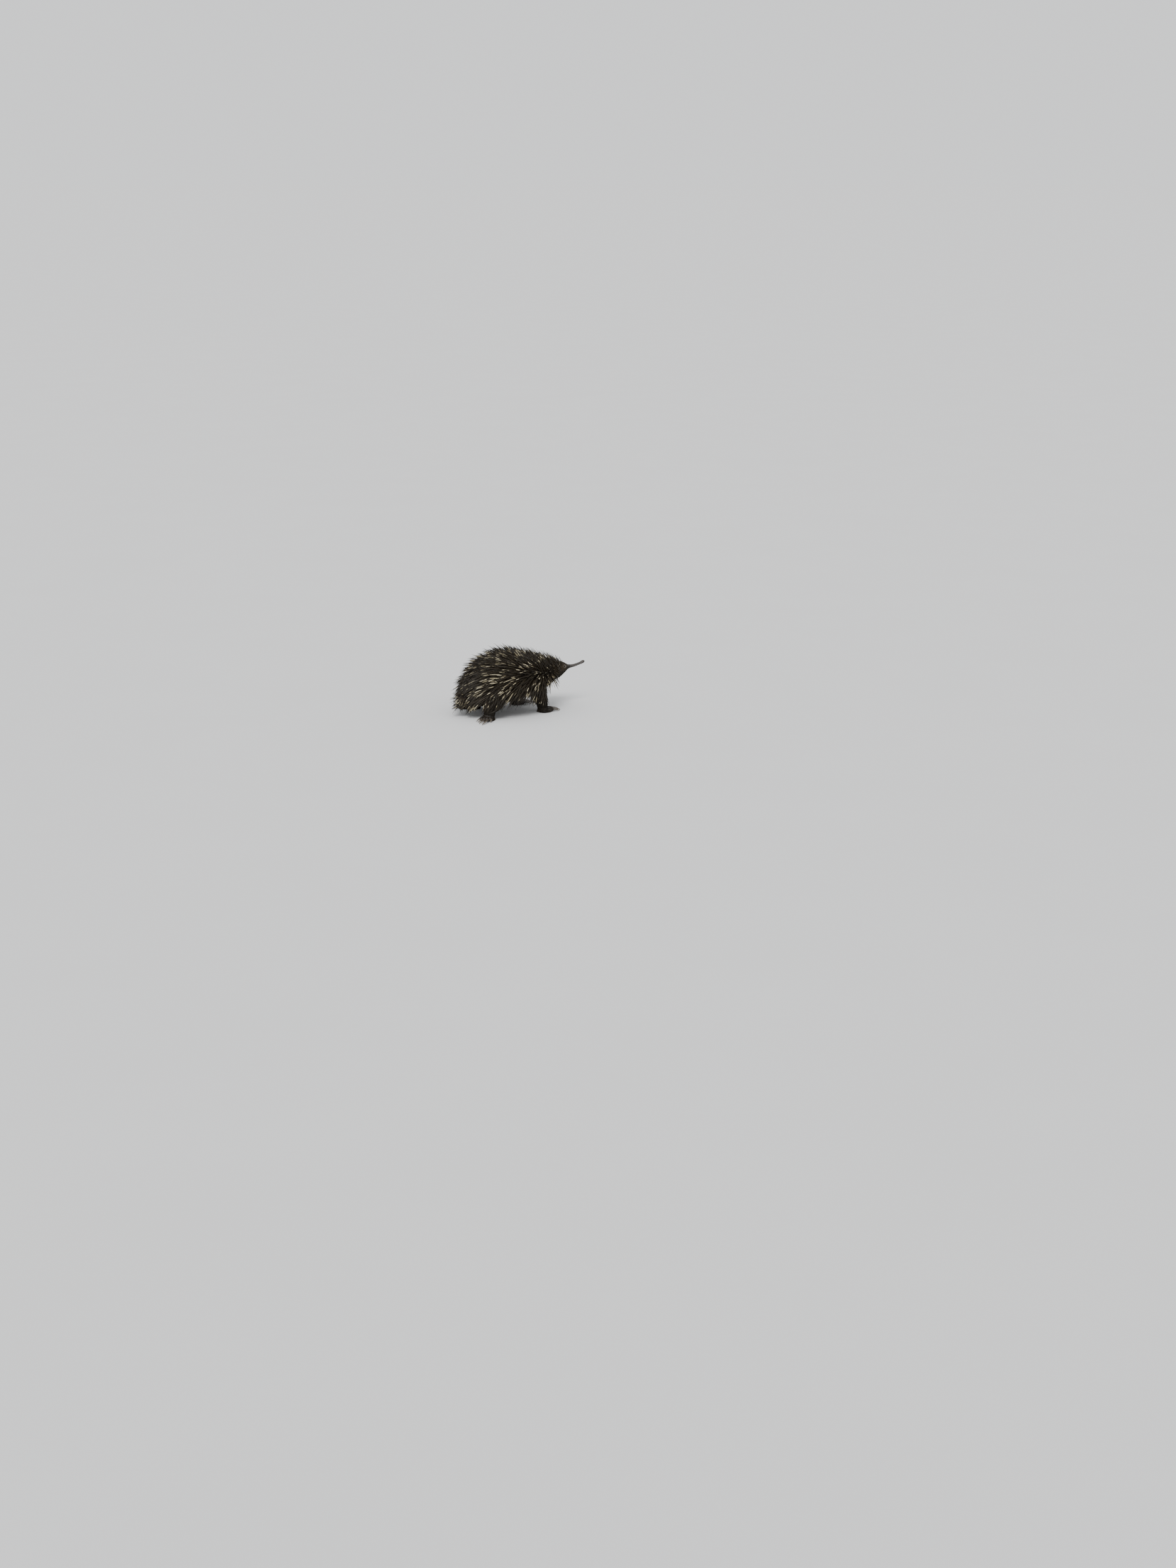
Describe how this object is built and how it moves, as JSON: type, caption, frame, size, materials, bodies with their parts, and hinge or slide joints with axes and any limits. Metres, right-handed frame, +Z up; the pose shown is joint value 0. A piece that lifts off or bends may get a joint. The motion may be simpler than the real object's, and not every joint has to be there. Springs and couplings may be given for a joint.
{
  "type": "short-beaked echidna, life-size model",
  "caption": "Life-size still model of a short-beaked echidna standing with its head raised: domed spiny body, small furred head, slender beak, clawed paws and short tail.",
  "frame": {"origin": "on the floor, under the centre of the model's box", "axes": "+X to the beak, +Y to the animal's left, +Z up"},
  "size_m": [0.3964, 0.2392, 0.1748],
  "materials": {
    "coat": "dark brown bristly fur set with dark brown spines, some of them with a cream band",
    "face": "short dark brown fur",
    "beak": "bare dark leathery skin, slightly moist at the tip",
    "paw": "short coarse dark fur over leathery skin",
    "claw": "dark worn horn",
    "eye": "wet black"
  },
  "bodies": {
    "root": {"beak": "beak", "claw_fore_left_1": "claw", "claw_fore_left_2": "claw", "claw_fore_left_3": "claw", "claw_fore_left_4": "claw", "claw_fore_left_5": "claw", "claw_fore_right_1": "claw", "claw_fore_right_2": "claw", "claw_fore_right_3": "claw", "claw_fore_right_4": "claw", "claw_fore_right_5": "claw", "claw_hind_left_1": "claw", "claw_hind_left_2": "claw", "claw_hind_left_3": "claw", "claw_hind_left_4": "claw", "claw_hind_left_5": "claw", "claw_hind_right_1": "claw", "claw_hind_right_2": "claw", "claw_hind_right_3": "claw", "claw_hind_right_4": "claw", "claw_hind_right_5": "claw", "ear_left": "face", "ear_right": "face", "eye_left": "eye", "eye_right": "eye", "foreleg_left": "paw", "foreleg_right": "paw", "forepaw_left": "paw", "forepaw_right": "paw", "head": "face", "hindleg_left": "paw", "hindleg_right": "paw", "hindpaw_left": "paw", "hindpaw_right": "paw", "neck": "coat", "tail": "coat", "torso": "coat"}
  },
  "joints": []
}
